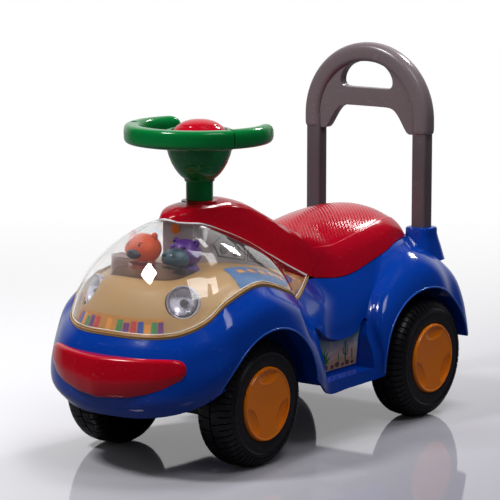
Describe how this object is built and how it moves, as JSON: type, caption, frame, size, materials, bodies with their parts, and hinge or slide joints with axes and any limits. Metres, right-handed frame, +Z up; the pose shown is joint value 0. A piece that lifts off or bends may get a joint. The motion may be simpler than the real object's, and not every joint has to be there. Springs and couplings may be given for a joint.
{
  "type": "kids ride-on car",
  "caption": "Foot-to-floor ride-on toy car with a clear nose dome, steered front wheels, lift-up seat over a storage bin and an arched push handle.",
  "frame": {"origin": "middle of the bounding box at floor level", "axes": "+Z up, -Y towards the nose, +X towards the car's left side"},
  "size_m": [0.2868, 0.615, 0.474],
  "materials": {
    "blue_plastic": "gloss moulded",
    "red_plastic": "satin gloss moulded",
    "green_plastic": "satin gloss moulded",
    "cream_plastic": "satin moulded",
    "warm_grey": "satin moulded",
    "console_grey": "matte moulded",
    "black_plastic": "matte moulded",
    "tyre_black": "blow moulded, satin",
    "orange_plastic": "gloss moulded",
    "steel": "drawn bright",
    "clear_plastic": "clear polished",
    "smoked_plastic": "smoked transparent",
    "chrome": "plated plastic",
    "figure_orange": "satin moulded",
    "figure_purple": "satin moulded",
    "figure_teal": "satin moulded",
    "label": "printed label film"
  },
  "bodies": {
    "chassis": {"body_shell": "blue_plastic", "front_bumper": "red_plastic", "cockpit_deck": "cream_plastic", "dome": "clear_plastic", "console": "console_grey", "windscreen": "smoked_plastic", "bear_head": "figure_orange", "bear_muzzle": "black_plastic", "hippo_head": "figure_purple", "hippo_muzzle": "figure_teal", "headlight_reflector_left": "chrome", "headlight_reflector_right": "chrome", "headlight_lens_left": "clear_plastic", "headlight_lens_right": "clear_plastic", "headlight_bulb_left": "black_plastic", "headlight_bulb_right": "black_plastic", "steering_cowl": "red_plastic", "column_bush": "black_plastic", "seat_hinge_pin": "steel", "storage_bin": "black_plastic", "front_axle_beam": "black_plastic", "kingpin_left": "steel", "kingpin_right": "steel", "rear_axle": "steel", "rear_axle_bush_left": "black_plastic", "rear_axle_bush_right": "black_plastic", "axle_nut_rear_left": "steel", "axle_nut_rear_right": "steel", "push_handle": "warm_grey", "handle_leg_left": "warm_grey", "handle_leg_right": "warm_grey", "side_sticker_left": "label", "side_sticker_right": "label"},
    "steering": {"steering_wheel": "green_plastic", "grip_left": "green_plastic", "grip_right": "green_plastic", "steering_column": "steel", "column_screw": "steel", "sound_module": "black_plastic", "horn_spring": "steel"},
    "horn": {"horn_button": "red_plastic"},
    "linkage": {"tie_rod": "black_plastic"},
    "left_knuckle": {"knuckle_left": "black_plastic", "stub_axle_left": "steel", "axle_nut_front_left": "steel"},
    "right_knuckle": {"knuckle_right": "black_plastic", "stub_axle_right": "steel", "axle_nut_front_right": "steel"},
    "front_left_wheel": {"wheel_front_left": "tyre_black", "hub_cap_front_left": "orange_plastic"},
    "front_right_wheel": {"wheel_front_right": "tyre_black", "hub_cap_front_right": "orange_plastic"},
    "rear_left_wheel": {"wheel_rear_left": "tyre_black", "hub_cap_rear_left": "orange_plastic"},
    "rear_right_wheel": {"wheel_rear_right": "tyre_black", "hub_cap_rear_right": "orange_plastic"},
    "seat_lid": {"seat": "red_plastic"}
  },
  "joints": [
    {"name": "steer", "type": "hinge", "parent": "chassis", "child": "steering", "pos_m": [0, -0.1035, 0.3], "axis": [0, 0, 1], "range_deg": [-22, 22]},
    {"name": "left_kingpin", "type": "hinge", "parent": "chassis", "child": "left_knuckle", "pos_m": [0.06, -0.139, 0.0775], "axis": [0, 0, 1], "range_deg": [-22, 22]},
    {"name": "right_kingpin", "type": "hinge", "parent": "chassis", "child": "right_knuckle", "pos_m": [-0.06, -0.139, 0.0775], "axis": [0, 0, 1], "range_deg": [-22, 22]},
    {"name": "linkage_pin", "type": "hinge", "parent": "steering", "child": "linkage", "pos_m": [0, -0.0735, 0.107], "axis": [0, 0, 1], "range_deg": [-22, 22]},
    {"name": "horn_press", "type": "slide", "parent": "steering", "child": "horn", "axis": [0, 0, -1], "range_m": [0, 0.003], "stiffness_N_per_m": 1200, "springref_m": -0.001, "deforming": ["horn_spring"]},
    {"name": "front_left_spin", "type": "hinge", "parent": "left_knuckle", "child": "front_left_wheel", "pos_m": [0.1, -0.139, 0.0775], "axis": [1, 0, 0], "continuous": true},
    {"name": "front_right_spin", "type": "hinge", "parent": "right_knuckle", "child": "front_right_wheel", "pos_m": [-0.1, -0.139, 0.0775], "axis": [1, 0, 0], "continuous": true},
    {"name": "rear_left_spin", "type": "hinge", "parent": "chassis", "child": "rear_left_wheel", "pos_m": [0.11, 0.204, 0.0775], "axis": [1, 0, 0], "continuous": true},
    {"name": "rear_right_spin", "type": "hinge", "parent": "chassis", "child": "rear_right_wheel", "pos_m": [-0.11, 0.204, 0.0775], "axis": [1, 0, 0], "continuous": true},
    {"name": "seat_lift", "type": "hinge", "parent": "chassis", "child": "seat_lid", "pos_m": [0, 0.0523, 0.25], "axis": [1, 0, 0], "range_deg": [0, 80]}
  ],
  "couplings": [
    {"joint": "left_kingpin", "follows": "steer", "ratio": 1},
    {"joint": "right_kingpin", "follows": "steer", "ratio": 1},
    {"joint": "linkage_pin", "follows": "steer", "ratio": -1}
  ]
}
